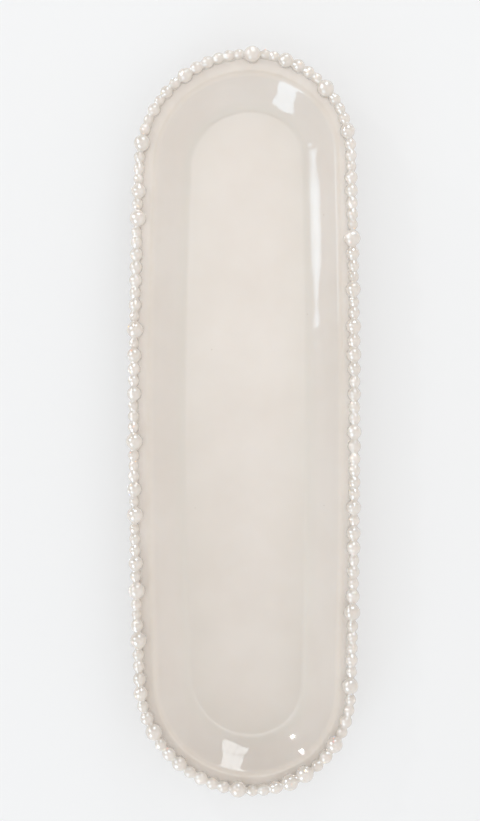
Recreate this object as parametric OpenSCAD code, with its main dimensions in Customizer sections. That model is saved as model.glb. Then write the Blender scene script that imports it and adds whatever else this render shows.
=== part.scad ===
// Long serving plate for asparagus, slab-built in clay and glazed cream.
// It is made of a dish with a flat lip, a foot ring luted under the dish, and one row of
// hand-rolled pearls seated on the edge of the lip.
// The origin is the middle of the plan, on the table. +Y runs to the far end, +X to the
// right and +Z up. All lengths are millimetres.

/* [Outline] */
// Overall length of the dish over its lip
dish_length = 435; // [360:1:520]
// Overall width of the dish over its lip
dish_width = 132; // [120:1:156]
// Shift of the far end's tip to the right of the middle
far_tip_shift = 3.9; // [0:0.1:6]
// Shift of the near end's tip to the right of the middle
near_tip_shift = 4.4; // [0:0.1:6]
// How far the long left side bows out between its corners
left_bow = 3.3; // [1:0.1:5]
// How far the long right side bows out between its corners
right_bow = 2.3; // [1:0.1:5]

/* [Dish section] */
// Thickness of the clay slab
slab_t = 5; // [4:0.1:6]
// Depth of the well, from the top of the lip down to the floor
well_depth = 14.5; // [12:0.5:18]
// Radius of the bend between floor and wall, at mid thickness
heel_r = 12; // [9:0.5:18]
// Radius of the bend between wall and lip, at mid thickness
shoulder_r = 4; // [3.2:0.1:6]
// Width of the flat lip, from the bend out to the edge
lip_w = 9.5; // [7:0.5:12]
// Rounding of the lip's edge
edge_r = 1.5; // [0.5:0.1:1.9]
// Slope of the wall, in degrees from flat
wall_slope = 37; // [33:1:42]

/* [Foot ring] */
// Height of the foot ring
foot_h = 4; // [3:0.5:8]
// Width of the foot ring
foot_w = 5; // [4:0.5:7]
// Rounding of the foot ring's lower edges
foot_round = 1.2; // [0.5:0.1:1.8]
// Distance from the start of the heel bend in to the middle of the foot ring
foot_inset = 4; // [3:0.5:8]

/* [Pearls] */
// Usual diameter of a pearl
pearl_d = 7.4; // [6:0.1:9]
// Distance from the lip's outer edge in to the middle of a usual pearl
pearl_inset = 1.1; // [0.6:0.1:2.5]
// Depth that a pearl is pressed into the lip
pearl_bite = 0.8; // [0.3:0.1:1.4]
// Gap between neighbouring pearls
pearl_gap = 0.2; // [0.1:0.05:0.4]

/* [Hidden] */

// Every pearl is one of five sizes, lettered a to e, each a share of the usual diameter.
size_letters = "abcde";
pearl_size_shares = [0.77, 0.89, 1.02, 1.19, 1.36];

// Places of the large pearls along the string, as shares of its length. The string starts
// at the far end of the left side and runs round the near end first.
large_place_shares = [
    0.031, 0.096, 0.161, 0.204, 0.248, 0.277, 0.308, 0.332, 0.356, 0.394, 0.425, 0.460,
    0.496, 0.539, 0.600, 0.644, 0.689, 0.757, 0.848, 0.877, 0.897, 0.939, 0.987
];
large_sizes = "eeeeeededeeeeedddeedede";

// Sizes of the pearls that run from each large pearl to the next one.
run_sizes = [
    "abcccbca", "adcbdabb", "babda", "abbdb", "bac", "bbc", "bc", "bc", "bcbb", "bbc", "ebc",
    "bcbb", "bcbbb", "dbcbddb", "bbbbc", "bbcbc", "cdbadabc", "abbccabbdbab", "abc", "aa",
    "abbcc", "bcacab", "bbadb"
];

// How far a pearl's middle moves in for each millimetre that its radius is over the usual.
lean_share = 0.38;

// Facets of a full circle, and steps along half of a bowed side.
round_fn = 96;
pearl_fn = 48;
side_steps = 8;

// Steps of the bends in the sections.
heel_steps = 7;
shoulder_steps = 5;
edge_steps = 4;

// Overlap of the floor slab with the band of floor that the section carries.
floor_lap = slab_t;

// Length by which cutting shapes run past what they cut.
overrun = slab_t;

function direction(angle) = [cos(angle), sin(angle)];

// Outline
// The lip's outer edge is a quarter arc at each corner and a slightly bowed arc along each
// side. An arc is [centre, radius, start, end], with the angles of its outward direction,
// and the arcs follow each other from the far end of the left side.

half_length = dish_length / 2;
half_width = dish_width / 2;

function bow(sx) = sx < 0 ? left_bow : right_bow;
function tip_x(sy) = sy < 0 ? near_tip_shift : far_tip_shift;

// Corners are told apart by the signs of their side: sx for left or right, sy for near or far.
function corner_r(sx, sy) = half_width - bow(sx) - sx * tip_x(sy);
function corner_y(sx, sy) = sy * (half_length - corner_r(sx, sy));
function corner_arc(sx, sy, start) =
    [[tip_x(sy), corner_y(sx, sy)], corner_r(sx, sy), start, start + 90];

// The bowed side passes through both corners' ends and the half width midway between them.
function side_arc(sx, middle) =
    let (
        reach = (corner_y(sx, 1) - corner_y(sx, -1)) / 2,
        radius = (pow(reach, 2) + pow(bow(sx), 2)) / (2 * bow(sx)),
        turn = asin(reach / radius)
    )
    [
        [sx * (half_width - radius), (corner_y(sx, 1) + corner_y(sx, -1)) / 2],
        radius, middle - turn, middle + turn
    ];

rim_arcs = [
    side_arc(-1, 180),
    corner_arc(-1, -1, 180),
    corner_arc(1, -1, 270),
    side_arc(1, 360),
    corner_arc(1, 1, 360),
    corner_arc(-1, 1, 450)
];

function arc_turn(arc) = arc[3] - arc[2];

// Point of an arc at a share of its turn, moved in from the lip's outer edge.
function rim_point(arc, share, inset) =
    arc[0] + (arc[1] - inset) * direction(arc[2] + share * arc_turn(arc));

// Sweeps a section, drawn about an inset line, round a corner.
module corner_sweep(arc, inset) {
    translate(arc[0])
        rotate(arc[2])
            rotate_extrude(angle = arc_turn(arc), $fn = round_fn)
                translate([arc[1] - inset, 0])
                    children();
}

// Sweeps a section along a side, in two mirrored halves that end flat where the corners begin.
module side_sweep(sx, arc, inset) {
    reach = (corner_y(sx, 1) - corner_y(sx, -1)) / 2;
    turn = arc_turn(arc) / 2 + overrun / arc[1] * 180 / PI;
    translate(arc[0])
        mirror([sx < 0 ? 1 : 0, 0, 0])
            for (flip = [0, 1])
                mirror([0, flip, 0])
                    intersection() {
                        rotate_extrude(angle = turn, $fn = ceil(360 / turn) * side_steps)
                            translate([arc[1] - inset, 0])
                                children();
                        translate([arc[1] - dish_width, 0, -dish_width])
                            cube([2 * dish_width, reach, 2 * dish_width]);
                    }
}

// Sweeps a section round the whole outline.
module sweep(inset) {
    side_sweep(-1, rim_arcs[0], inset) children();
    corner_sweep(rim_arcs[1], inset) children();
    corner_sweep(rim_arcs[2], inset) children();
    side_sweep(1, rim_arcs[3], inset) children();
    corner_sweep(rim_arcs[4], inset) children();
    corner_sweep(rim_arcs[5], inset) children();
}

// Section of the dish
// The section is a slab of constant thickness: a flat floor, a heel bend, a broad sloping
// wall, a shoulder bend and the flat lip. Its x is zero where the heel bend starts and its y
// is zero at the middle of the floor's thickness.

heel_end = heel_r * [sin(wall_slope), 1 - cos(wall_slope)];
shoulder_run = shoulder_r * [sin(wall_slope), 1 - cos(wall_slope)];
wall_rise = well_depth - heel_end.y - shoulder_run.y;
wall_end = heel_end + wall_rise * [1 / tan(wall_slope), 1];
shoulder_end = wall_end + shoulder_run;

// Distance from the lip's outer edge in to the start of the heel bend.
heel_inset = shoulder_end.x + lip_w;

floor_mid_z = foot_h + slab_t / 2;
lip_top_z = foot_h + slab_t + well_depth;

// Points along a bend, from one angle to another.
function bend(centre, radius, from, to, steps) =
    [for (i = [0:steps]) centre + radius * direction(from + (to - from) * i / steps)];

module dish_section() {
    half_t = slab_t / 2;
    heel_c = [0, heel_r];
    shoulder_c = shoulder_end - [0, shoulder_r];
    edge_x = heel_inset - edge_r;
    polygon(concat(
        // Top side, from the floor out to the lip
        [[-floor_lap, half_t]],
        bend(heel_c, heel_r - half_t, -90, wall_slope - 90, heel_steps),
        bend(shoulder_c, shoulder_r + half_t, wall_slope + 90, 90, shoulder_steps),
        // Rounded edge
        bend([edge_x, shoulder_end.y + half_t - edge_r], edge_r, 90, 0, edge_steps),
        bend([edge_x, shoulder_end.y - half_t + edge_r], edge_r, 0, -90, edge_steps),
        // Underside, back to the floor
        bend(shoulder_c, shoulder_r - half_t, 90, wall_slope + 90, shoulder_steps),
        bend(heel_c, heel_r + half_t, wall_slope - 90, -90, heel_steps),
        [[-floor_lap, -half_t]]
    ));
}

module dish() {
    slab_inset = heel_inset + floor_lap / 2;
    color("#E7DFD3") {
        translate([0, 0, floor_mid_z])
            sweep(heel_inset)
                dish_section();
        translate([0, 0, foot_h])
            linear_extrude(slab_t)
                polygon([
                    for (arc = rim_arcs, share = [1 / 8, 3 / 8, 5 / 8, 7 / 8])
                        rim_point(arc, share, slab_inset)
                ]);
    }
}

// Foot ring

module foot_section() {
    polygon(concat(
        [[-foot_w / 2, foot_h]],
        bend([foot_round - foot_w / 2, foot_round], foot_round, 180, 270, edge_steps),
        bend([foot_w / 2 - foot_round, foot_round], foot_round, 270, 360, edge_steps),
        [[foot_w / 2, foot_h]]
    ));
}

module foot_ring() {
    color("#D8CBB6")
        sweep(heel_inset + foot_inset)
            foot_section();
}

// String of pearls
// Each pearl has a cell of the string as wide as itself and the gap. Large pearls keep
// their size and place, and each run between two of them fills its span exactly.

string_lengths = [
    for (arc = rim_arcs) (arc[1] - pearl_inset) * arc_turn(arc) * PI / 180
];
string_starts = [
    for (i = 0, s = 0; i < len(rim_arcs); s = s + string_lengths[i], i = i + 1) s
];
string_length = string_starts[len(rim_arcs) - 1] + string_lengths[len(rim_arcs) - 1];

large_count = len(large_place_shares);

function size_share(letter) = pearl_size_shares[search(letter, size_letters)[0]];
function sum(list, count) = count == 0 ? 0 : list[count - 1] + sum(list, count - 1);

// Place along the string of large pearl k, which may be the first one of the next round.
function large_place(k) =
    (large_place_shares[k % large_count] + floor(k / large_count)) * string_length;
function large_cell(k) = pearl_d * size_share(large_sizes[k % large_count]);

// Place where the first cell of run k starts, and all its cells.
function run_start(k) = large_place(k) + large_cell(k) / 2;
function run_cells(k) =
    let (
        letters = run_sizes[k],
        span = large_place(k + 1) - large_cell(k + 1) / 2 - run_start(k),
        shares = [for (letter = letters) size_share(letter)],
        natural = pearl_d * sum(shares, len(shares)),
        count = max(1, round(len(letters) * span / natural)),
        filled = [for (j = [0:count - 1]) shares[j % len(shares)]]
    )
    span / sum(filled, count) * filled;

// One pearl at a place along the string, cut flat where it sits in the lip.
module pearl(place, cell) {
    along = place - string_length * floor(place / string_length);
    index = len([for (start = string_starts) if (start <= along) start]) - 1;
    arc = rim_arcs[index];
    share = (along - string_starts[index]) / string_lengths[index];
    radius = (cell - pearl_gap) / 2;
    inset = pearl_inset + lean_share * (radius - pearl_d / 2);
    middle = rim_point(arc, share, inset);
    translate([middle.x, middle.y, lip_top_z])
        difference() {
            translate([0, 0, radius - pearl_bite])
                sphere(r = radius, $fn = pearl_fn);
            translate([0, 0, -2 * radius])
                cylinder(r = 2 * radius, h = 2 * radius, $fn = pearl_fn);
        }
}

module large_pearl(k) {
    color("#E9E1D6")
        pearl(large_place(k), large_cell(k));
}

module pearl_run(k) {
    cells = run_cells(k);
    color("#E6DED2")
        for (j = [0:len(cells) - 1])
            pearl(run_start(k) + sum(cells, j) + cells[j] / 2, cells[j]);
}

// Nodes

function numbered(name, k) = str(name, "_", k < 9 ? "0" : "", k + 1);

dish();
foot_ring();
for (k = [0:large_count - 1]) {
    large_pearl(k);
    pearl_run(k);
}
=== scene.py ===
# %% [markdown]
# # A long plate for asparagus, edged with pearls
# The real plate is a slab of clay pressed into a shallow oval trough, a foot ring luted
# underneath, and a row of hand-rolled clay pearls stuck round the lip. A thick cream glaze
# covers everything that shows.
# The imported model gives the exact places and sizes. This script loads it as a fixed frame and
# dresses it: every piece made here stands where its plain solid stands.

# %% Load the plain model
import math

import bmesh
import bpy
import numpy as np
from mathutils import Matrix, Vector


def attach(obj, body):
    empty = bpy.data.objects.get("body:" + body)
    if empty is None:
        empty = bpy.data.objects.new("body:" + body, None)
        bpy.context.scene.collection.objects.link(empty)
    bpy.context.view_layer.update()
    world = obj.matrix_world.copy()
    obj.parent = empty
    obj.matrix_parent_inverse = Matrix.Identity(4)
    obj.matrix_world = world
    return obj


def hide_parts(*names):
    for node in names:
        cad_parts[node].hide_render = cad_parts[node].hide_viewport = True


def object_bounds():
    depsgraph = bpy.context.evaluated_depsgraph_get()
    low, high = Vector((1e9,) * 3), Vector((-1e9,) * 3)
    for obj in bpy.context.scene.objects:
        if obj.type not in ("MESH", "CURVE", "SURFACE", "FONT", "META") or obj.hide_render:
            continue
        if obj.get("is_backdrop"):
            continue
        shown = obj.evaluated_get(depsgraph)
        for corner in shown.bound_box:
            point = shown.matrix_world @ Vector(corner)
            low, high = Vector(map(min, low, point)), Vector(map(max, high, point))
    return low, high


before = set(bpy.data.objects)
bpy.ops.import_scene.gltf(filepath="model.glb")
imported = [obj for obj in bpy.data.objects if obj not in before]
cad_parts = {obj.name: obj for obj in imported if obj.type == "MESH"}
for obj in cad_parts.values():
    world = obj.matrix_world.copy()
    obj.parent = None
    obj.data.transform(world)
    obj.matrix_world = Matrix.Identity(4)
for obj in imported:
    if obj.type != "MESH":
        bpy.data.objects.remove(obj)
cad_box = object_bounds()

mm = 0.001
for corner, word in zip(cad_box, ("lowest", "highest")):
    print(f"{word} corner of the plain model in mm:", [round(x / mm, 2) for x in corner])

# %% [markdown]
# ## Helpers for Geometry Nodes
# A node tree is built here in code, so two small helpers keep it readable: one adds a node
# with its settings and its inputs, and one starts a tree with named inputs. A link is made
# wherever an input's value is another node's socket.

# %% A node with its inputs
def add(tree, kind, inputs=None, **settings):
    made = tree.nodes.new(kind)
    for name, value in settings.items():
        setattr(made, name, value)
    for key, value in (inputs or {}).items():
        if isinstance(value, bpy.types.NodeSocket):
            tree.links.new(value, made.inputs[key])
        else:
            made.inputs[key].default_value = value
    return made


def calc(tree, operation, *values):
    return add(tree, "ShaderNodeMath", dict(enumerate(values)), operation=operation).outputs[0]


def vector(tree, operation, *values):
    made = add(tree, "ShaderNodeVectorMath", operation=operation)
    for key, value in enumerate(values):
        slot = "Scale" if operation == "SCALE" and key == 1 else key
        if isinstance(value, bpy.types.NodeSocket):
            tree.links.new(value, made.inputs[slot])
        else:
            made.inputs[slot].default_value = value
    return made.outputs["Value" if operation in ("LENGTH", "DOT_PRODUCT") else "Vector"]


def mix_vectors(tree, share, first, second):
    return add(tree, "ShaderNodeMix", {0: share, 4: first, 5: second}, data_type="VECTOR",
               clamp_factor=True).outputs[1]


# %% A tree with named inputs
KINDS = {"geometry": "NodeSocketGeometry", "object": "NodeSocketObject", "size": "NodeSocketFloat",
         "count": "NodeSocketInt", "material": "NodeSocketMaterial"}


def new_tree(name, **inputs):
    tree = bpy.data.node_groups.new(name, "GeometryNodeTree")
    tree.interface.new_socket("Geometry", in_out="INPUT", socket_type=KINDS["geometry"])
    for label, kind in inputs.items():
        tree.interface.new_socket(label, in_out="INPUT", socket_type=KINDS[kind])
    tree.interface.new_socket("Geometry", in_out="OUTPUT", socket_type=KINDS["geometry"])
    return tree, tree.nodes.new("NodeGroupInput").outputs


def end_tree(tree, geometry, material):
    whole = add(tree, "GeometryNodeRealizeInstances", {0: geometry})
    coated = add(tree, "GeometryNodeSetMaterial",
                 {"Geometry": whole.outputs[0], "Material": material})
    add(tree, "NodeGroupOutput", {0: coated.outputs[0]})


# %% Run a tree and keep its result as a plain mesh
def grow(name, start, tree, **values):
    modifier = start.modifiers.new("grow", "NODES")
    modifier.node_group = tree
    for item in tree.interface.items_tree:
        if item.in_out == "INPUT" and item.name in values:
            modifier[item.identifier] = values[item.name]
    bpy.context.view_layer.update()
    shaped = start.evaluated_get(bpy.context.evaluated_depsgraph_get())
    mesh = bpy.data.meshes.new_from_object(shaped)
    mesh.name = name
    piece = bpy.data.objects.new(name, mesh)
    bpy.context.scene.collection.objects.link(piece)
    bpy.data.objects.remove(start)
    return piece


def points_object(name, points, **attributes):
    mesh = bpy.data.meshes.new(name)
    mesh.from_pydata([tuple(p) for p in points], [], [])
    for label, values in attributes.items():
        flat = np.asarray(values, np.float32)
        kind = "FLOAT" if flat.ndim == 1 else "FLOAT_VECTOR"
        made = mesh.attributes.new(label, kind, "POINT")
        made.data.foreach_set("value" if kind == "FLOAT" else "vector", flat.ravel())
    held = bpy.data.objects.new(name, mesh)
    bpy.context.scene.collection.objects.link(held)
    return held


def measure(piece):
    shape = bmesh.new()
    shape.from_mesh(piece.data)
    open_edges = sum(1 for edge in shape.edges if len(edge.link_faces) != 2)
    triangles = sum(len(face.verts) - 2 for face in shape.faces)
    volume = shape.calc_volume(signed=True) / (10 * mm) ** 3
    shape.free()
    print(f"{piece.name}: {triangles} triangles, {open_edges} open edges, {volume:.1f} cm3")


# %% [markdown]
# ## The outline
# A potter cuts this outline by hand round a template, so it isn't a perfect stadium. It is
# drawn with six arcs: a quarter arc at each corner, each with its own radius, and a slight
# bow along each side. Each point of the outline also carries the direction that faces
# outwards, and the point of the middle line that its part of the floor runs in to.

# %% Named sizes of the outline
dish_length, dish_width = 435 * mm, 132 * mm
tip_shift = {1: 3.9 * mm, -1: 4.4 * mm}
bow = {-1: 3.3 * mm, 1: 2.3 * mm}
spine_reach = 153 * mm
corner_steps, side_steps = 44, 100

# How much wider than usual the lip is at each end and side. Below zero it is narrower.
lip_extra = {"near": -1.5 * mm, "far": 0.4 * mm, "left": -1.5 * mm, "right": -3.0 * mm}


# %% The arcs as points, each with the direction that faces outwards
def corner_radius(sx, sy):
    return dish_width / 2 - bow[sx] - sx * tip_shift[sy]


def corner_middle(sx, sy):
    return Vector((tip_shift[sy], sy * (dish_length / 2 - corner_radius(sx, sy)), 0))


def arc_points(middle, radius, start, turn, steps):
    for i in range(steps):
        angle = math.radians(start + turn * i / steps)
        out = Vector((math.cos(angle), math.sin(angle), 0))
        yield middle + radius * out, out


def side_points(sx, steps):
    ends = [corner_middle(sx, sy).y for sy in (1, -1)]
    reach, middle_y = abs(ends[0] - ends[1]) / 2, sum(ends) / 2
    radius = (reach**2 + bow[sx] ** 2) / (2 * bow[sx])
    turn = math.degrees(math.asin(reach / radius)) * 2
    start = {-1: 180, 1: 0}[sx] - turn / 2
    middle = Vector((sx * (dish_width / 2 - radius), middle_y, 0))
    return list(arc_points(middle, radius, start, turn, steps))


def corner_points(sx, sy, start, steps):
    return list(arc_points(corner_middle(sx, sy), corner_radius(sx, sy), start, 90, steps))


spine_ends = {sy: Vector((tip_shift[sy], sy * spine_reach, 0)) for sy in (1, -1)}
share_down = [i / side_steps for i in range(side_steps)]
rim = side_points(-1, side_steps)
spine = [spine_ends[1].lerp(spine_ends[-1], s) for s in share_down]
rim += corner_points(-1, -1, 180, corner_steps) + corner_points(1, -1, 270, corner_steps)
spine += [spine_ends[-1]] * (2 * corner_steps)
rim += side_points(1, side_steps)
spine += [spine_ends[-1].lerp(spine_ends[1], s) for s in share_down]
rim += corner_points(1, 1, 0, corner_steps) + corner_points(-1, 1, 90, corner_steps)
spine += [spine_ends[1]] * (2 * corner_steps)

# %% Each rim point's own width of lip, blended by the way it faces
def lip_widening(out):
    sideways = lip_extra["left"] * (1 - out.x) / 2 + lip_extra["right"] * (1 + out.x) / 2
    lengthways = lip_extra["near"] if out.y < 0 else lip_extra["far"]
    return sideways + (lengthways - sideways) * abs(out.y) ** 2


rim_steps = len(rim)
rim_facts = dict(outward=[out for _, out in rim], spine=spine,
                 widening=[lip_widening(out) for _, out in rim])
rim_points = [point for point, _ in rim]
print(rim_steps, "points round the rim,",
      round(sum((a - b).length for a, b in zip(rim_points, rim_points[1:] + rim_points[:1])) / mm),
      "mm round")

# %% [markdown]
# ## The section of the dish
# Cut across, the plate is a slab of even thickness: a flat floor, a heel bend, a broad
# sloping wall, a shoulder bend, and the flat lip with a soft round edge. A wall smoothed by
# hand comes out a touch hollow, so it is an arc that starts less steep at the heel and ends
# steeper at the shoulder. Heel, wall and shoulder meet without a kink, because the shine on
# the glaze would show one at once.

# %% Named sizes of the section
slab, well_depth, foot_height = 5 * mm, 14.5 * mm, 4 * mm
heel_r, shoulder_r, edge_r = 12 * mm, 4 * mm, 1.5 * mm
wall_slope, wall_turn = math.radians(37), math.radians(8)
heel_inset = 34.1 * mm


def bend_run(radius, turn):
    """How far a bend has gone, level and up, after it has turned by an angle."""
    return Vector((math.sin(turn), 1 - math.cos(turn))) * radius


heel_turn, shoulder_turn = wall_slope - wall_turn, wall_slope + wall_turn
heel_end, shoulder_run = bend_run(heel_r, heel_turn), bend_run(shoulder_r, shoulder_turn)
wall_rise = well_depth - heel_end.y - shoulder_run.y
wall_r = wall_rise / math.sin(wall_slope) / (2 * math.sin(wall_turn))
wall_end = heel_end + Vector((wall_rise / math.tan(wall_slope), wall_rise))
shoulder_end = wall_end + shoulder_run
floor_middle = foot_height + slab / 2
lip_height = foot_height + slab + well_depth
print("the lip is", round((heel_inset - shoulder_end.x) / mm, 2), "mm wide")


# %% The section's points, row by row
def turn_points(middle, radius, start, end, steps):
    return [middle + radius * Vector((math.cos(a), math.sin(a)))
            for a in (start + (end - start) * i / steps for i in range(steps + 1))]


def between(a, b, steps):
    return [a.lerp(b, i / steps) for i in range(1, steps)]


up, down = math.pi / 2, -math.pi / 2
heel_c, shoulder_c = Vector((0, heel_r)), shoulder_end - Vector((0, shoulder_r))
wall_c = heel_end + Vector((-math.sin(heel_turn), math.cos(heel_turn))) * wall_r
top_edge_c = Vector((heel_inset - edge_r, shoulder_end.y + slab / 2 - edge_r))
low_edge_c = Vector((heel_inset - edge_r, shoulder_end.y - slab / 2 + edge_r))

heel_top = turn_points(heel_c, heel_r - slab / 2, down, down + heel_turn, 12)
wall_top = turn_points(wall_c, wall_r - slab / 2, down + heel_turn, down + shoulder_turn, 12)
shoulder_top = turn_points(shoulder_c, shoulder_r + slab / 2, up + shoulder_turn, up, 12)
edge_top = turn_points(top_edge_c, edge_r, up, 0, 6)
edge_low = turn_points(low_edge_c, edge_r, 0, down, 5)
shoulder_low = turn_points(shoulder_c, shoulder_r - slab / 2, up, up + shoulder_turn, 6)
wall_low = turn_points(wall_c, wall_r + slab / 2, down + shoulder_turn, down + heel_turn, 8)
heel_low = turn_points(heel_c, heel_r + slab / 2, down + heel_turn, down, 8)

floor_shares = (1, 0.92, 0.82, 0.7, 0.58, 0.46, 0.34, 0.23, 0.14, 0.06)
top_rows = heel_top + wall_top[1:-1] + shoulder_top
top_rows += between(shoulder_top[-1], edge_top[0], 7) + edge_top
low_rows = edge_low + between(edge_low[-1], shoulder_low[0], 5) + shoulder_low
low_rows += wall_low[1:-1] + heel_low


# %% [markdown]
# Each point of the section also knows five things: how far it has run in to the middle line,
# how much it follows a wider lip, how much it shares in the waver of the wall and of the lip,
# and how thick the glaze lies there, because glaze runs off edges and pools in hollows.

# %% What each point of the section knows
def bump(x, low, high):
    t = min(max((x - low) / (high - low), 0), 1)
    return t * t * (3 - 2 * t)


def wall_share(x):
    """The lower wall leans in and the middle leans out, so its slope changes between them."""
    up_wall = min(max((x - heel_end.x) / (wall_end.x - heel_end.x), 0), 1)
    wander = math.sin(2 * math.pi * min(up_wall * 1.6, 1))
    return wander * abs(wander)


def glaze_share(x, run_in):
    """Above zero for pooled glaze in the heel and on the floor, below zero for thin glaze."""
    heel_pool = 1 - abs(x - pool_at) / pool_width
    pool = heel_pool if run_in == 0 else floor_pool - run_in
    edge_thin = 0.9 * bump(x, heel_inset - thin_edge, heel_inset)
    shoulder_thin = 0.5 * max(0, 1 - abs(x - shoulder_end.x + edge_r) / thin_shoulder)
    return 0.6 * min(max(pool, 0), 1) - edge_thin - shoulder_thin


pool_at, pool_width, floor_pool = 3 * mm, 6 * mm, 0.6
thin_edge, thin_shoulder = 2.5 * mm, 3 * mm
rows = [(Vector((0, slab / 2)), share) for share in floor_shares]
rows += [(point, 0) for point in top_rows + low_rows]
rows += [(Vector((0, -slab / 2)), share) for share in floor_shares[::-1]]
section_points = [(heel_inset - point.x, 0, floor_middle + point.y) for point, _ in rows]
facts = {
    "run_in": [share for _, share in rows],
    "follow": [1 - bump(p.x, shoulder_end.x - 1 * mm, heel_inset - 3 * mm) for p, _ in rows],
    "wall": [wall_share(p.x) for p, _ in rows],
    "lip": [bump(p.x, wall_end.x, shoulder_end.x + 2 * mm) for p, _ in rows],
    "glaze": [glaze_share(p.x, share) for p, share in rows],
}
section_steps = len(section_points)
print(section_steps, "points across the section")

# %% [markdown]
# ## Glaze
# The glaze is a cream one over a warm clay. Up close it has a faint mottle, a few tiny specks
# of iron, an orange-peel ripple, and it lies thinner and warmer over edges. Under it a clear
# coat gives the wet shine. All patterns read Object coordinates, which are the plate's own
# millimetres, so they stay put when the plate is turned.

# %% Helpers for materials
def new_material(name):
    made = bpy.data.materials.new(name)
    made.use_nodes = True
    made.node_tree.nodes.clear()
    return made, made.node_tree


def blend_colours(tree, share, first, second):
    mixed = add(tree, "ShaderNodeMix", data_type="RGBA", clamp_factor=True)
    for key, value in ((0, share), (6, first), (7, second)):
        if isinstance(value, bpy.types.NodeSocket):
            tree.links.new(value, mixed.inputs[key])
        else:
            mixed.inputs[key].default_value = value
    return mixed.outputs[2]


def noise(tree, place, scale, detail=2.0, roughness=0.5):
    made = add(tree, "ShaderNodeTexNoise", {"Vector": place, "Scale": scale, "Detail": detail,
                                            "Roughness": roughness})
    return made.outputs[0]


def stretch(tree, value, low, high, to_low=0.0, to_high=1.0):
    return add(tree, "ShaderNodeMapRange", {0: value, 1: low, 2: high, 3: to_low, 4: to_high},
               clamp=True).outputs[0]


def colour(red, green, blue):
    """A colour from screen values of 0 to 255."""
    def linear(x):
        x /= 255
        return x / 12.92 if x <= 0.04045 else ((x + 0.055) / 1.055) ** 2.4
    return (linear(red), linear(green), linear(blue), 1)


# %% Named colours, and how many patches of each pattern go to a metre
glaze_tones = colour(227, 217, 207), colour(231, 222, 213)
pooled_glaze, thin_glaze, toned_glaze = (
    colour(224, 217, 206), colour(221, 209, 193), colour(219, 210, 199))
iron_speck = colour(160, 128, 96)
clay_tones, clay_grain = (colour(205, 190, 168), colour(187, 168, 143)), colour(150, 128, 104)
table_white = colour(243, 243, 243)
mottle, ripple, speck, swell, peel, sheen = 26, 240, 105, 60, 420, 90
clay_mottle, sand = 40, 1500


# %% The cream glaze
def cream_glaze(name, own_tone, coat_ior):
    made, tree = new_material(name)
    place = add(tree, "ShaderNodeTexCoord").outputs["Object"]
    lay = add(tree, "ShaderNodeAttribute", attribute_name="glaze").outputs["Fac"]
    body = blend_colours(tree, stretch(tree, noise(tree, place, mottle, 3), 0.35, 0.65),
                         *glaze_tones)
    thick = stretch(tree, lay, 0.0, 0.6)
    thin = stretch(tree, lay, 0.0, -0.9)
    patchy = stretch(tree, noise(tree, place, ripple, 3), 0.25, 0.6, 0.45, 1.0)
    thin = calc(tree, "MULTIPLY", thin, patchy)
    body = blend_colours(tree, calc(tree, "MULTIPLY", thick, 0.5), body, pooled_glaze)
    body = blend_colours(tree, calc(tree, "MULTIPLY", thin, 0.75), body, thin_glaze)
    if own_tone:
        tone = add(tree, "ShaderNodeAttribute", attribute_name="tone").outputs["Fac"]
        body = blend_colours(tree, calc(tree, "MULTIPLY", tone, 0.6), body, toned_glaze)
    specks = add(tree, "ShaderNodeTexVoronoi", {"Vector": place, "Scale": speck, "Randomness": 1})
    dot = stretch(tree, specks.outputs["Distance"], 0.045, 0.02)
    rare = add(tree, "ShaderNodeSeparateColor", {0: specks.outputs["Color"]}).outputs[0]
    dot = calc(tree, "MULTIPLY", dot, stretch(tree, rare, 0.9, 0.95))
    body = blend_colours(tree, calc(tree, "MULTIPLY", dot, 0.45), body, iron_speck)

    slow, fine = noise(tree, place, swell, 2), noise(tree, place, peel, 2)
    height = calc(tree, "ADD", slow, calc(tree, "MULTIPLY", fine, 0.06))
    relief = add(tree, "ShaderNodeBump",
                 {"Strength": 0.12, "Distance": 0.4 * mm, "Height": height}).outputs[0]
    rough = stretch(tree, noise(tree, place, sheen, 3), 0.3, 0.7, 0.05, 0.09)
    shader = add(tree, "ShaderNodeBsdfPrincipled", {
        "Base Color": body, "Roughness": rough, "Normal": relief, "IOR": 1.5,
        "Subsurface Weight": 0.35, "Subsurface Radius": (1.0, 0.85, 0.7),
        "Subsurface Scale": 1.5 * mm, "Specular IOR Level": 0.5,
        "Coat Weight": 1.0, "Coat Roughness": 0.02, "Coat IOR": coat_ior, "Coat Normal": relief})
    add(tree, "ShaderNodeOutputMaterial", {"Surface": shader.outputs[0]})
    return made


dish_glaze = cream_glaze("cream_glaze", own_tone=False, coat_ior=1.5)
pearl_glaze = cream_glaze("pearl_glaze", own_tone=True, coat_ior=1.9)

# %% [markdown]
# ## Bare clay
# The foot ring is wiped clean of glaze so that it doesn't stick to the kiln shelf. Bare clay
# is matt, sandy and a little darker where it has been handled.

# %% The bare clay
bare_clay, clay_tree = new_material("bare_clay")
clay_place = add(clay_tree, "ShaderNodeTexCoord").outputs["Object"]
clay_patches = stretch(clay_tree, noise(clay_tree, clay_place, clay_mottle, 4), 0.35, 0.65)
clay_body = blend_colours(clay_tree, clay_patches, *clay_tones)
grain = noise(clay_tree, clay_place, sand, 4, 0.7)
clay_body = blend_colours(clay_tree, stretch(clay_tree, grain, 0.6, 0.75, 0, 0.5), clay_body,
                          clay_grain)
clay_relief = add(clay_tree, "ShaderNodeBump",
                  {"Strength": 0.6, "Distance": 0.2 * mm, "Height": grain})
clay_shader = add(clay_tree, "ShaderNodeBsdfPrincipled", {
    "Base Color": clay_body, "Roughness": 0.86, "Normal": clay_relief.outputs[0]})
add(clay_tree, "ShaderNodeOutputMaterial", {"Surface": clay_shader.outputs[0]})

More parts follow.
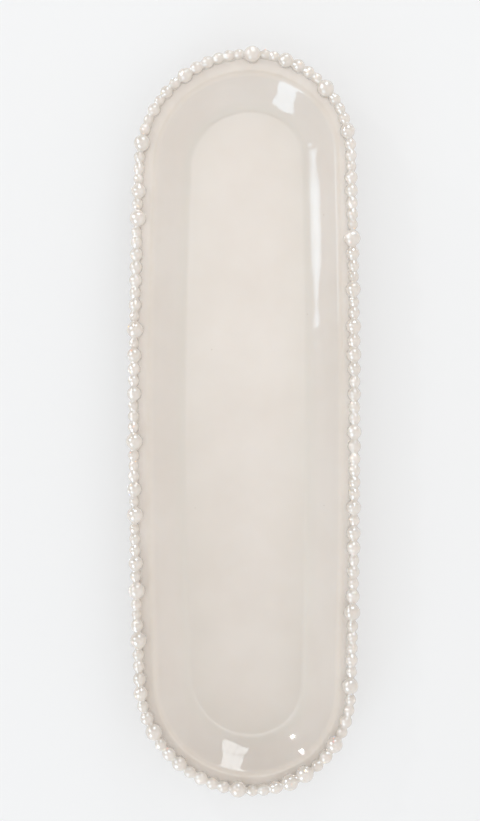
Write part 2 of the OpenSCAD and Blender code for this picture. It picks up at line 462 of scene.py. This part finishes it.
# %% [markdown]
# ## Sweeping a section round the outline
# The dish and the foot ring follow the same rule: one section, carried round the outline. A
# grid of points is bent into that shape: one way of the grid runs round the rim, the other
# runs across the section. The rule also gives the clay its hand-made waver: slow noise moves
# the wall in and out, and lifts and lowers the floor and the lip by a fraction of a
# millimetre, which is what makes the reflections on the real plate wander.

# %% Look up a fact of one point, and a slow waver
def pick(tree, source, index, kind="FLOAT", label=None):
    if label is None:
        value = add(tree, "GeometryNodeInputPosition").outputs[0]
    else:
        value = add(tree, "GeometryNodeInputNamedAttribute", {"Name": label},
                    data_type=kind).outputs[0]
    return add(tree, "GeometryNodeSampleIndex",
               {"Geometry": source, "Value": value, "Index": index}, data_type=kind,
               domain="POINT").outputs[0]


def waver(tree, place, scale, seed, offset):
    """Slow noise from -1 to 1. The offset gives each use of it a place of its own."""
    moved = vector(tree, "ADD", place, (offset, 0.0, 0.0))
    made = add(tree, "ShaderNodeTexNoise",
               {"Vector": moved, "W": seed, "Scale": scale, "Detail": 1.0, "Roughness": 0.4},
               noise_dimensions="4D")
    return calc(tree, "MULTIPLY", calc(tree, "SUBTRACT", made.outputs[0], 0.5), 2.0)


# %% The sweeping tree: a grid, and the rim point and section point of each of its points
sweep, given = new_tree("section_round_the_rim", Section="object", RimSteps="count",
                        SectionSteps="count", WallWaver="size", FloorWaver="size",
                        LipWaver="size", WaverScale="size", Seed="size", Material="material")
section = add(sweep, "GeometryNodeObjectInfo", {"Object": given["Section"]},
              transform_space="ORIGINAL").outputs["Geometry"]
columns = calc(sweep, "ADD", given["RimSteps"], 1.0)
grid = add(sweep, "GeometryNodeMeshGrid", {"Size X": 1.0, "Size Y": 1.0, "Vertices X": columns,
                                           "Vertices Y": given["SectionSteps"]})
at = add(sweep, "ShaderNodeSeparateXYZ", {0: add(sweep, "GeometryNodeInputPosition").outputs[0]})
round_share = calc(sweep, "ADD", at.outputs[0], 0.5)
across_share = calc(sweep, "ADD", at.outputs[1], 0.5)
column = calc(sweep, "ROUND", calc(sweep, "MULTIPLY", round_share, given["RimSteps"]))
column = calc(sweep, "MODULO", column, given["RimSteps"])
last_row = calc(sweep, "SUBTRACT", given["SectionSteps"], 1.0)
row = calc(sweep, "ROUND", calc(sweep, "MULTIPLY", across_share, last_row))

# %% Where each point of the grid goes
rim_at = pick(sweep, given["Geometry"], column, "FLOAT_VECTOR")
outward = pick(sweep, given["Geometry"], column, "FLOAT_VECTOR", "outward")
spine_at = pick(sweep, given["Geometry"], column, "FLOAT_VECTOR", "spine")
widening = pick(sweep, given["Geometry"], column, "FLOAT", "widening")
profile = add(sweep, "ShaderNodeSeparateXYZ", {0: pick(sweep, section, row, "FLOAT_VECTOR")})
known = {label: pick(sweep, section, row, "FLOAT", label) for label in facts}


def wavering(share, size, place, offset):
    return calc(sweep, "MULTIPLY", calc(sweep, "MULTIPLY", share, given[size]),
                waver(sweep, place, given["WaverScale"], given["Seed"], offset))


moved = calc(sweep, "ADD", wavering(known["wall"], "WallWaver", rim_at, 3.1),
             wavering(known["lip"], "LipWaver", rim_at, 7.7))
inset = calc(sweep, "ADD", profile.outputs[0],
             calc(sweep, "MULTIPLY", known["follow"], widening))
inset = calc(sweep, "ADD", inset, moved)
on_plan = vector(sweep, "SUBTRACT", rim_at, vector(sweep, "SCALE", outward, inset))
on_plan = mix_vectors(sweep, known["run_in"], on_plan, spine_at)
floor_part = calc(sweep, "SUBTRACT", 1.0, known["lip"])
lift = calc(sweep, "ADD", wavering(floor_part, "FloorWaver", on_plan, 12.9),
            wavering(known["lip"], "LipWaver", rim_at, 19.3))
height_at = calc(sweep, "ADD", profile.outputs[2], lift)
place_at = vector(sweep, "ADD", on_plan,
                  add(sweep, "ShaderNodeCombineXYZ", {2: height_at}).outputs[0])


# %% Bend, weld and finish
def note(tree, geometry, label, value, kind="FLOAT"):
    return add(tree, "GeometryNodeStoreNamedAttribute",
               {"Geometry": geometry, "Name": label, "Value": value}, data_type=kind,
               domain="POINT").outputs[0]


def weld_and_end(tree, geometry, distance, material, flip=False):
    welded = add(tree, "GeometryNodeMergeByDistance", {"Geometry": geometry, "Distance": distance})
    if flip:
        welded = add(tree, "GeometryNodeFlipFaces", {0: welded.outputs[0]})
    smooth = add(tree, "GeometryNodeSetShadeSmooth",
                 {"Geometry": welded.outputs[0], "Shade Smooth": True})
    end_tree(tree, smooth.outputs[0], material)


bent = add(sweep, "GeometryNodeSetPosition",
           {"Geometry": note(sweep, grid.outputs[0], "glaze", known["glaze"]),
            "Position": place_at})
weld_and_end(sweep, bent.outputs[0], 0.02 * mm, given["Material"], flip=True)

# %% Make the dish
dish = grow("glazed_dish", points_object("rim_line", rim_points, **rim_facts), sweep,
            Section=points_object("dish_section", section_points, **facts), RimSteps=rim_steps,
            SectionSteps=section_steps, WallWaver=0.6 * mm, FloorWaver=0.2 * mm, LipWaver=0.2 * mm,
            WaverScale=34.0, Seed=4.0, Material=dish_glaze)
measure(dish)

# %% [markdown]
# ## The foot ring
# Turned over, the plate shows a plain ring of bare clay. It goes through the same tree with a
# small section of its own: a flat standing face, soft lower edges, and a fillet of slip where
# it is luted to the floor.

# %% The foot ring's section
foot_width, foot_round, foot_inset, slip = 5 * mm, 1.2 * mm, 4 * mm, 1.1 * mm
foot_middle = heel_inset + foot_inset


def quarter(steps):
    return [math.radians(90 * i / steps) for i in range(steps + 1)]


def foot_side():
    """One side from the top down: the fillet of slip, the soft lower edge, the standing face."""
    half = [(foot_width / 2 + slip * (1 - math.sin(a)), foot_height - slip * (1 - math.cos(a)))
            for a in quarter(4)]
    half += [(foot_width / 2 - foot_round * (1 - math.cos(a)), foot_round * (1 - math.sin(a)))
             for a in quarter(5)]
    return half + [(foot_width / 6, 0)]


foot_rows = foot_side() + [(-x, z) for x, z in foot_side()[::-1]]
foot_rows.append(foot_rows[0])
foot_points = [(foot_middle - x, 0, z) for x, z in foot_rows]
plain = {label: [0.0] * len(foot_points) for label in facts}

# %% Make the foot ring
foot = grow("foot_ring_clay", points_object("rim_line", rim_points, **rim_facts), sweep,
            Section=points_object("foot_section", foot_points, **plain), RimSteps=rim_steps,
            SectionSteps=len(foot_points), WallWaver=0.0, FloorWaver=0.0, LipWaver=0.0,
            WaverScale=21.0, Seed=4.0, Material=bare_clay)
measure(foot)

# %% [markdown]
# ## Where the pearls sit
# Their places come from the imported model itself. Each plain pearl is a ball cut flat at its
# seat, so a ball is fitted to the corners of every separate lump in the nodes' meshes. That
# way the dressed pearls can't drift away from the plain ones.

# %% Split a node's mesh into its lumps
def lumps(node):
    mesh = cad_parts[node].data
    corners = np.zeros(len(mesh.vertices) * 3)
    mesh.vertices.foreach_get("co", corners)
    corners = corners.reshape(-1, 3)
    _, same = np.unique(np.round(corners, 7), axis=0, return_inverse=True)
    same = same.ravel()
    faces = np.array([face.vertices[:] for face in mesh.polygons])
    label = np.arange(same.max() + 1)
    faces = same[faces]
    before = None
    while before is None or (label != before).any():
        before = label.copy()
        lowest = label[faces].min(axis=1)
        for k in range(3):
            np.minimum.at(label, faces[:, k], lowest)
        label = label[label]
    return [corners[label[same] == part] for part in np.unique(label[same])]


def fit_ball(corners):
    near = corners.mean(axis=0)
    local = corners - near
    table = np.hstack([2 * local, np.ones((len(local), 1))])
    found = np.linalg.lstsq(table, (local**2).sum(axis=1), rcond=None)[0]
    return near + found[:3], math.sqrt(found[3] + (found[:3] ** 2).sum())


# %% Fit a ball to every pearl
pearl_nodes = sorted(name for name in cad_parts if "pearl" in name)
balls = [fit_ball(part) for name in pearl_nodes for part in lumps(name)]
order = np.argsort([math.atan2(middle[1] * dish_width / dish_length, middle[0])
                    for middle, _ in balls])
middles = np.array([balls[i][0] for i in order])
radii = np.array([balls[i][1] for i in order])
print(len(radii), "pearls, from", round(2 * radii.min() / mm, 2), "to",
      round(2 * radii.max() / mm, 2), "mm")

# %% [markdown]
# ## The string of pearls
# A pearl is rolled between the palms, pressed on the lip with a dab of slip, and glazed in
# place. Glaze fills the narrow places: it bridges two neighbours with a little neck and draws
# up round each foot like water round a pebble. So the string is modelled as one skin. Rings
# of points are strung along the row, closer together towards each neck, and every point is
# then let out along its own ray until it meets the skin.

# %% The rays of one ring, in degrees from straight outwards
top_rays = [-8 + 14 * k for k in range(15)]
foot_rays = [-15, -21, -27, -33, -39, -46, -60]
rays = [-90] + foot_rays[::-1] + top_rays + [180 - a for a in foot_rays] + [270]
ring_points = [(math.cos(math.radians(a)), math.sin(math.radians(a)), 0) for a in rays]
stations = 14
print(len(rays) - 1, "points in a ring,", stations, "rings to a pearl")

# %% Start the stringing tree: a grid, one column for each ring
string, given = new_tree("string_of_pearls", Ring="object", Dish="object", Pearls="count",
                         Stations="count", Rays="count", NeckGlaze="size", FootGlaze="size",
                         Sink="size", Seat="size", Dent="size", DentScale="size", Seed="size",
                         Material="material")


def whole(held):
    return add(string, "GeometryNodeObjectInfo", {"Object": held},
               transform_space="ORIGINAL").outputs["Geometry"]


def sum_of(*values):
    total = values[0]
    for value in values[1:]:
        total = calc(string, "ADD", total, value)
    return total


def product(*values):
    total = values[0]
    for value in values[1:]:
        total = calc(string, "MULTIPLY", total, value)
    return total


ring, dish_mesh = whole(given["Ring"]), whole(given["Dish"])
rings = product(given["Pearls"], given["Stations"])
grid = add(string, "GeometryNodeMeshGrid",
           {"Size X": 1.0, "Size Y": 1.0, "Vertices X": sum_of(rings, 1.0),
            "Vertices Y": sum_of(given["Rays"], 1.0)})
at = add(string, "ShaderNodeSeparateXYZ", {0: add(string, "GeometryNodeInputPosition").outputs[0]})
column = calc(string, "ROUND", product(sum_of(at.outputs[0], 0.5), rings))
row = calc(string, "ROUND", product(sum_of(at.outputs[1], 0.5), given["Rays"]))
whose = calc(string, "FLOOR", calc(string, "DIVIDE", sum_of(column, 0.1), given["Stations"]))
whose = calc(string, "MODULO", whose, given["Pearls"])
step = calc(string, "MODULO", column, given["Stations"])
along = calc(string, "DIVIDE", product(step, 2.0), given["Stations"])
along = calc(string, "SUBTRACT", along, 1.0)

# %% A pearl, its two neighbours, and the necks between them
index = {"own": whose}
for label, move in (("before", -1.0), ("after", 1.0)):
    index[label] = calc(string, "MODULO", sum_of(whose, given["Pearls"], move), given["Pearls"])
middle = {k: pick(string, given["Geometry"], v, "FLOAT_VECTOR") for k, v in index.items()}
radius = {k: pick(string, given["Geometry"], v, "FLOAT", "radius") for k, v in index.items()}
way_in = vector(string, "SUBTRACT", middle["own"], middle["before"])
way_out = vector(string, "SUBTRACT", middle["after"], middle["own"])


def to_neck(way, other):
    share = calc(string, "DIVIDE", radius["own"], sum_of(radius["own"], radius[other]))
    return vector(string, "SCALE", way, share)


onward = calc(string, "GREATER_THAN", along, 0.0)
reach_in = vector(string, "SCALE", to_neck(way_in, "before"), -1.0)
reach_to = mix_vectors(string, onward, reach_in, to_neck(way_out, "after"))
crowding = calc(string, "SINE", product(calc(string, "ABSOLUTE", along), math.pi / 2))
axis_at = vector(string, "ADD", middle["own"], vector(string, "SCALE", reach_to, crowding))

# %% The ray of each point, square to the row
half_way = product(sum_of(along, 1.0), 0.5)
axis_way = mix_vectors(string, half_way, vector(string, "NORMALIZE", way_in),
                       vector(string, "NORMALIZE", way_out))
axis_way = vector(string, "NORMALIZE", axis_way)
outwards = vector(string, "CROSS_PRODUCT", axis_way, (0.0, 0.0, 1.0))
outwards = vector(string, "NORMALIZE", outwards)
upwards = vector(string, "CROSS_PRODUCT", outwards, axis_way)
turned = add(string, "ShaderNodeSeparateXYZ", {0: pick(string, ring, row, "FLOAT_VECTOR")})
ray = vector(string, "ADD", vector(string, "SCALE", outwards, turned.outputs[0]),
             vector(string, "SCALE", upwards, turned.outputs[1]))

# %% Keep what each point knows, and start it inside its pearl
geometry = grid.outputs[0]
notes = {"ray": ray, "axis": axis_at,
         "tone": pick(string, given["Geometry"], whose, "FLOAT", "tone")}
notes |= {k + "_middle": v for k, v in middle.items()}
notes |= {k + "_radius": v for k, v in radius.items()}
for label, value in notes.items():
    kind = "FLOAT_VECTOR" if value.type == "VECTOR" else "FLOAT"
    geometry = note(string, geometry, label, value, kind)


def own(label, kind="FLOAT"):
    return add(string, "GeometryNodeInputNamedAttribute", {"Name": label},
               data_type=kind).outputs[0]


def along_ray(distance):
    return vector(string, "ADD", own("axis", "FLOAT_VECTOR"),
                  vector(string, "SCALE", own("ray", "FLOAT_VECTOR"), distance))


geometry = add(string, "GeometryNodeSetPosition",
               {"Geometry": geometry, "Position": along_ray(product(own("own_radius"), 0.2))})
geometry = geometry.outputs[0]

# %% [markdown]
# How far a point is from the skin is measured with a soft minimum. A plain minimum of the
# distances to three balls and the lip would leave sharp crevices where they meet. The soft
# one rounds them off, as glaze does, and its size is the reach of the glaze. Stepping that
# far along the ray, a few times over, lands the point on the skin.

# %% The soft minimum and the distance to the skin
def soft_minimum(reach, *distances):
    parts = [calc(string, "EXPONENT", calc(string, "DIVIDE", product(distance, -1.0), reach))
             for distance in distances]
    return product(calc(string, "LOGARITHM", sum_of(*parts), math.e), product(reach, -1.0))


here = add(string, "GeometryNodeInputPosition").outputs[0]
to_ball = {}
for k in index:
    to_middle = vector(string, "SUBTRACT", here, own(k + "_middle", "FLOAT_VECTOR"))
    to_ball[k] = calc(string, "SUBTRACT", vector(string, "LENGTH", to_middle),
                      own(k + "_radius"))
pearls_skin = soft_minimum(given["NeckGlaze"], *to_ball.values())
near_at = add(string, "GeometryNodeProximity", {0: dish_mesh}, target_element="FACES")
facing = add(string, "GeometryNodeSampleNearestSurface",
             {"Mesh": dish_mesh, "Value": add(string, "GeometryNodeInputNormal").outputs[0]},
             data_type="FLOAT_VECTOR").outputs[0]
from_dish = vector(string, "SUBTRACT", here, near_at.outputs["Position"])
above_dish = sum_of(vector(string, "DOT_PRODUCT", from_dish, facing), given["Sink"])
skin = soft_minimum(given["FootGlaze"], pearls_skin, above_dish)
fingers = add(string, "ShaderNodeTexNoise",
              {"Vector": here, "W": given["Seed"], "Scale": given["DentScale"], "Detail": 0.0},
              noise_dimensions="4D").outputs[0]
dents = product(stretch(string, fingers, 0.3, 0.75), given["Dent"], own("own_radius"))
to_skin = sum_of(skin, dents)

# %% Step along the ray, twelve times
again = string.nodes.new("GeometryNodeRepeatInput")
done = string.nodes.new("GeometryNodeRepeatOutput")
again.pair_with_output(done)
again.inputs["Iterations"].default_value = 12
string.links.new(geometry, again.inputs["Geometry"])
from_axis = vector(string, "SUBTRACT", here, own("axis", "FLOAT_VECTOR"))
out_so_far = vector(string, "DOT_PRODUCT", from_axis, own("ray", "FLOAT_VECTOR"))
further = calc(string, "SUBTRACT", out_so_far, to_skin)
further = calc(string, "MAXIMUM", further, product(own("own_radius"), 0.1))
further = calc(string, "MINIMUM", further, product(own("own_radius"), 1.3))
stepped = add(string, "GeometryNodeSetPosition",
              {"Geometry": again.outputs["Geometry"], "Position": along_ray(further)})
string.links.new(stepped.outputs[0], done.inputs["Geometry"])

# %% Flatten the buried seat, note the glaze, weld and finish
spot = add(string, "ShaderNodeSeparateXYZ", {0: here})
level_with_seat = calc(string, "MAXIMUM", spot.outputs[2], given["Seat"])
flat = add(string, "ShaderNodeCombineXYZ",
           {0: spot.outputs[0], 1: spot.outputs[1], 2: level_with_seat})
seated = add(string, "GeometryNodeSetPosition",
             {"Geometry": done.outputs["Geometry"], "Position": flat.outputs[0]})
lay = stretch(string, to_ball["own"], 0.0, 1.2 * mm, 0.0, 0.6)
weld_and_end(string, note(string, seated.outputs[0], "glaze", lay), 0.01 * mm,
             given["Material"])

# %% Make the string
tones = np.random.default_rng(11).random(len(radii))
seat = lip_height - 0.7 * mm
pearl_points = points_object("pearl_points", middles, radius=radii - 0.02 * mm, tone=tones)
pearls = grow("pearl_string", pearl_points, string, Dish=dish, Pearls=len(radii),
              Ring=points_object("pearl_ring", ring_points), Stations=stations,
              Rays=len(rays) - 1, NeckGlaze=0.85 * mm, FootGlaze=1.2 * mm, Sink=0.06 * mm,
              Seat=seat, Dent=0.03, DentScale=110.0, Seed=2.0, Material=pearl_glaze)
measure(pearls)

# %% Clear away what only the trees needed
for label in notes:
    if label != "tone":
        pearls.data.attributes.remove(pearls.data.attributes[label])
for scrap in ("dish_section", "foot_section", "pearl_ring"):
    bpy.data.objects.remove(bpy.data.objects[scrap])

# %% [markdown]
# ## Joining the pieces to the plain model
# Each piece is listed with the plain nodes it stands for and its finish. It rides on the body
# that carries it, and its plain nodes are hidden. A plate has one body, because nothing on
# it moves.

# %% Ride and replace
for piece, nodes, finish in ((dish, ["dish"], "cream_glaze"), (foot, ["foot_ring"], "bare_clay"),
                             (pearls, pearl_nodes, "pearl_glaze")):
    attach(piece, "root")
    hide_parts(*nodes)

# %% [markdown]
# ## Table and camera
# The plate was photographed from straight above on plain white, with very faint shadows. Half
# of what the camera sees of the table here is the table's own glow, which takes half of the
# depth out of every shadow. The camera looks down through a long lens, so a pixel of the
# picture is nearly the same size at the rim and at the floor of the plate.

# %% The table
table_reach = 6.0
table_corners = [(x * table_reach, y * table_reach, 0)
                 for x, y in ((-1, -1), (1, -1), (1, 1), (-1, 1))]
table_mesh = bpy.data.meshes.new("table")
table_mesh.from_pydata(table_corners, [], [(0, 1, 2, 3)])
table = bpy.data.objects.new("table", table_mesh)
bpy.context.scene.collection.objects.link(table)
table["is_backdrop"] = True

# %% Its paint: half of what the camera sees of it is its own glow
own_glow = 0.5
table_paint, table_tree = new_material("table_paint")
shader = add(table_tree, "ShaderNodeBsdfPrincipled",
             {"Base Color": table_white, "Roughness": 0.6, "Specular IOR Level": 0.1})
lit = add(table_tree, "ShaderNodeEmission", {"Color": table_white, "Strength": 1.03})
seen_by_camera = add(table_tree, "ShaderNodeLightPath").outputs["Is Camera Ray"]
both = add(table_tree, "ShaderNodeMixShader",
           {0: calc(table_tree, "MULTIPLY", seen_by_camera, own_glow),
            1: shader.outputs[0], 2: lit.outputs[0]})
add(table_tree, "ShaderNodeOutputMaterial", {"Surface": both.outputs[0]})
table_mesh.materials.append(table_paint)

# %% The camera
pixel, picture_rows = 0.588 * mm, 821
picture_middle = (-2.44 * mm, 6.76 * mm)
distance = 1.5
lens = bpy.data.cameras.new("camera")
lens.sensor_width = 36
lens.lens = lens.sensor_width * distance / (picture_rows * pixel)
lens.clip_start, lens.clip_end = 0.05, 50
camera = bpy.data.objects.new("camera", lens)
camera.location = (*picture_middle, lip_height + distance)
bpy.context.scene.collection.objects.link(camera)
bpy.context.scene.camera = camera
print("lens of", round(lens.lens), "mm")

# %% [markdown]
# ## Windows and lamps
# A glaze this glossy is a mirror, so a lamp's shape matters as much as its strength. A wall
# that slopes at an angle shows the camera what stands at 90 degrees less twice that angle
# above the table, on the far side of the plate. That rule gave the lamps that the wall mirrors
# a first place, and comparing renders with the photograph gave the final one. A lamp's place
# is its azimuth and how far out and how high its lower and upper ends are:
#
# - a window at the lower left is mirrored at the far end, and one with glazing bars at the
#   top is mirrored at the near end;
# - two small lamps at the upper left make the two glints near the lower right;
# - a strip on the left is mirrored as the long streak in the right wall.
#
# Strength is given as the glow of the surface, so a lamp that grows keeps its brightness.

# %% A window of one or more panes
def window(name, azimuth, low, high, width, glow, tint=(1, 1, 1), columns=((0, 1),),
           rows=((0, 1),), roll=0.0, only=None):
    """Glowing panes on one plane. Low and high give the way out and the height of its two
    ends, and roll turns the plane in itself. With only, the light reaches one collection."""
    a = math.radians(azimuth)
    out, across = Vector((math.cos(a), math.sin(a), 0)), Vector((-math.sin(a), math.cos(a), 0))
    start, end = (out * away + Vector((0, 0, height)) for away, height in (low, high))
    centre, length = (start + end) / 2, (end - start).length
    along = (end - start).normalized()
    across, along = (across * math.cos(roll) - along * math.sin(roll),
                     along * math.cos(roll) + across * math.sin(roll))
    facing = Matrix((across, along, across.cross(along))).transposed().to_euler()
    for left, right in columns:
        for bottom, top in rows:
            data = bpy.data.lights.new(name, "AREA")
            data.shape = "RECTANGLE"
            data.size, data.size_y = width * (right - left), length * (top - bottom)
            data.energy, data.color = glow * math.pi * data.size * data.size_y, tint
            lamp = bpy.data.objects.new(name, data)
            lamp.location = (centre + along * length * ((bottom + top) / 2 - 0.5)
                             + across * width * ((left + right) / 2 - 0.5))
            lamp.rotation_euler = facing
            lamp.visible_camera, lamp.visible_diffuse = False, only is None
            lamp.light_linking.receiver_collection = only
            bpy.context.scene.collection.objects.link(lamp)
    return lamp


# %% The two windows and the two small lamps
sky_tint, high_sky_tint = (0.78, 1.0, 1.18), (0.92, 1.0, 1.05)
window("window_lower_left", azimuth=238, low=(1.87, 0.27), high=(1.165, 0.89), width=0.52,
       glow=2.5, tint=sky_tint, roll=-0.2)
window("window_top", azimuth=74, low=(1.78, 0.31), high=(0.95, 0.76), width=0.46, glow=2.9,
       tint=high_sky_tint, columns=((0, 0.49), (0.51, 1)), rows=((0, 0.72), (0.75, 1)))
window("lamp_upper_left", azimuth=136.4, low=(1.6, 0.93), high=(1.6, 1.0), width=0.1, glow=110)
window("lamp_low_left", azimuth=135.3, low=(1.6, 0.29), high=(1.6, 0.35), width=0.08, glow=90)


# %% [markdown]
# The strip must not be mirrored in the near corner too, where the photograph has no streak of
# it. So it gets a narrow beam, aimed at its own stretch of the wall. Blender gathers a lamp's
# whole power into a narrow beam, and that is why these two have such a low glow. The second
# one carries the streak a little way round the far corner.

# %% Strips with a narrow beam
def aim(lamp, at, beam):
    lamp.data.spread = math.radians(beam)
    lamp.rotation_euler = (lamp.location - Vector(at)).to_track_quat("Z", "Y").to_euler()


strip = window("strip_left", azimuth=172.2, low=(1.655, 0.66), high=(1.54, 0.96), width=0.212,
               glow=0.018, tint=sky_tint)
aim(strip, at=(0.055, 0.12, 0.02), beam=16)
strip_end = window("strip_end", azimuth=180.2, low=(1.6, 0.84), high=(1.54, 1.02), width=0.24,
                   glow=0.0025, tint=sky_tint)
aim(strip_end, at=(0.047, 0.165, 0.02), beam=6)

# %% [markdown]
# A pearl is so small that it mirrors a whole window in a pixel or two. Three more windows
# are linked to the pearls alone and light nothing else, so each pearl gets its spots of light
# while the dish stays as it is.

# %% Sparkle for the pearls alone
beads = bpy.data.collections.new("beads")
beads.objects.link(pearls)
for name, azimuth, glow in (("spark_left", 160, 13.0), ("spark_lower_left", 225, 9.0),
                            ("spark_top", 84, 8.0)):
    window(name, azimuth, low=(1.6, 0.5), high=(1.3, 0.95), width=0.45, glow=glow,
           tint=sky_tint, only=beads)

# %% [markdown]
# ## The room's own light
# The rest of the light comes from the room itself, which is brighter high up and differs from
# side to side. Light that falls on the plate can be as uneven as the photograph asks for,
# while the camera sees plain white. Straight overhead the room is darker towards the near end
# and brighter towards the far end, which is how the floor of the plate mirrors it.

# %% How bright the room is in each direction
world = bpy.data.worlds.new("room")
world.use_nodes = True
bpy.context.scene.world = world
room = world.node_tree
room.nodes.clear()
direction = add(room, "ShaderNodeTexCoord").outputs["Generated"]
way = add(room, "ShaderNodeSeparateXYZ", {0: direction})
sideways, lengthways, upright = way.outputs


def towards(axis, sign, power=1.0):
    """Nothing on one side, rising to 1 where the axis points."""
    facing = calc(room, "MAXIMUM", calc(room, "MULTIPLY", axis, sign), 0.0)
    return calc(room, "POWER", facing, power)


high_left = vector(room, "DOT_PRODUCT", direction, (-0.5, 0.0, 0.866))
level = stretch(room, upright, 0.4, 0.6, 0.475, 0.6)
for share, more in ((towards(upright, 1.0, 2.0), 0.15), (towards(sideways, 1.0), 0.5),
                    (towards(sideways, -1.0), 0.24), (towards(lengthways, -1.0), 0.25),
                    (towards(lengthways, 1.0), -0.26), (towards(high_left, 1.0, 8.0), 0.18)):
    level = calc(room, "ADD", level, calc(room, "MULTIPLY", share, more))
overhead = calc(room, "MULTIPLY", stretch(room, upright, 0.93, 0.985),
                stretch(room, lengthways, -0.13, 0.03, -0.5, 0.7))
level = calc(room, "ADD", level, overhead)

# %% White for the camera, the uneven room for everything else
ambient = add(room, "ShaderNodeBackground", {"Color": (1, 1, 1, 1), "Strength": level})
seen = add(room, "ShaderNodeBackground", {"Color": table_white, "Strength": 1.0})
choice = add(room, "ShaderNodeMixShader",
             {0: add(room, "ShaderNodeLightPath").outputs["Is Camera Ray"],
              1: ambient.outputs[0], 2: seen.outputs[0]})
add(room, "ShaderNodeOutputWorld", {"Surface": choice.outputs[0]})
bpy.context.scene.view_settings.view_transform = "Standard"

# %% [markdown]
# ## The last check
# The dressed plate has to stay the size of the plain one. The script ends by printing how far
# each corner of its box has moved.

# %% Compare the boxes
new_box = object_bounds()
for word, plain_corner, dressed in zip(("lowest", "highest"), cad_box, new_box):
    shift = [round((b - a) / mm, 2) for a, b in zip(plain_corner, dressed)]
    print(word, "corner moved by mm:", shift)
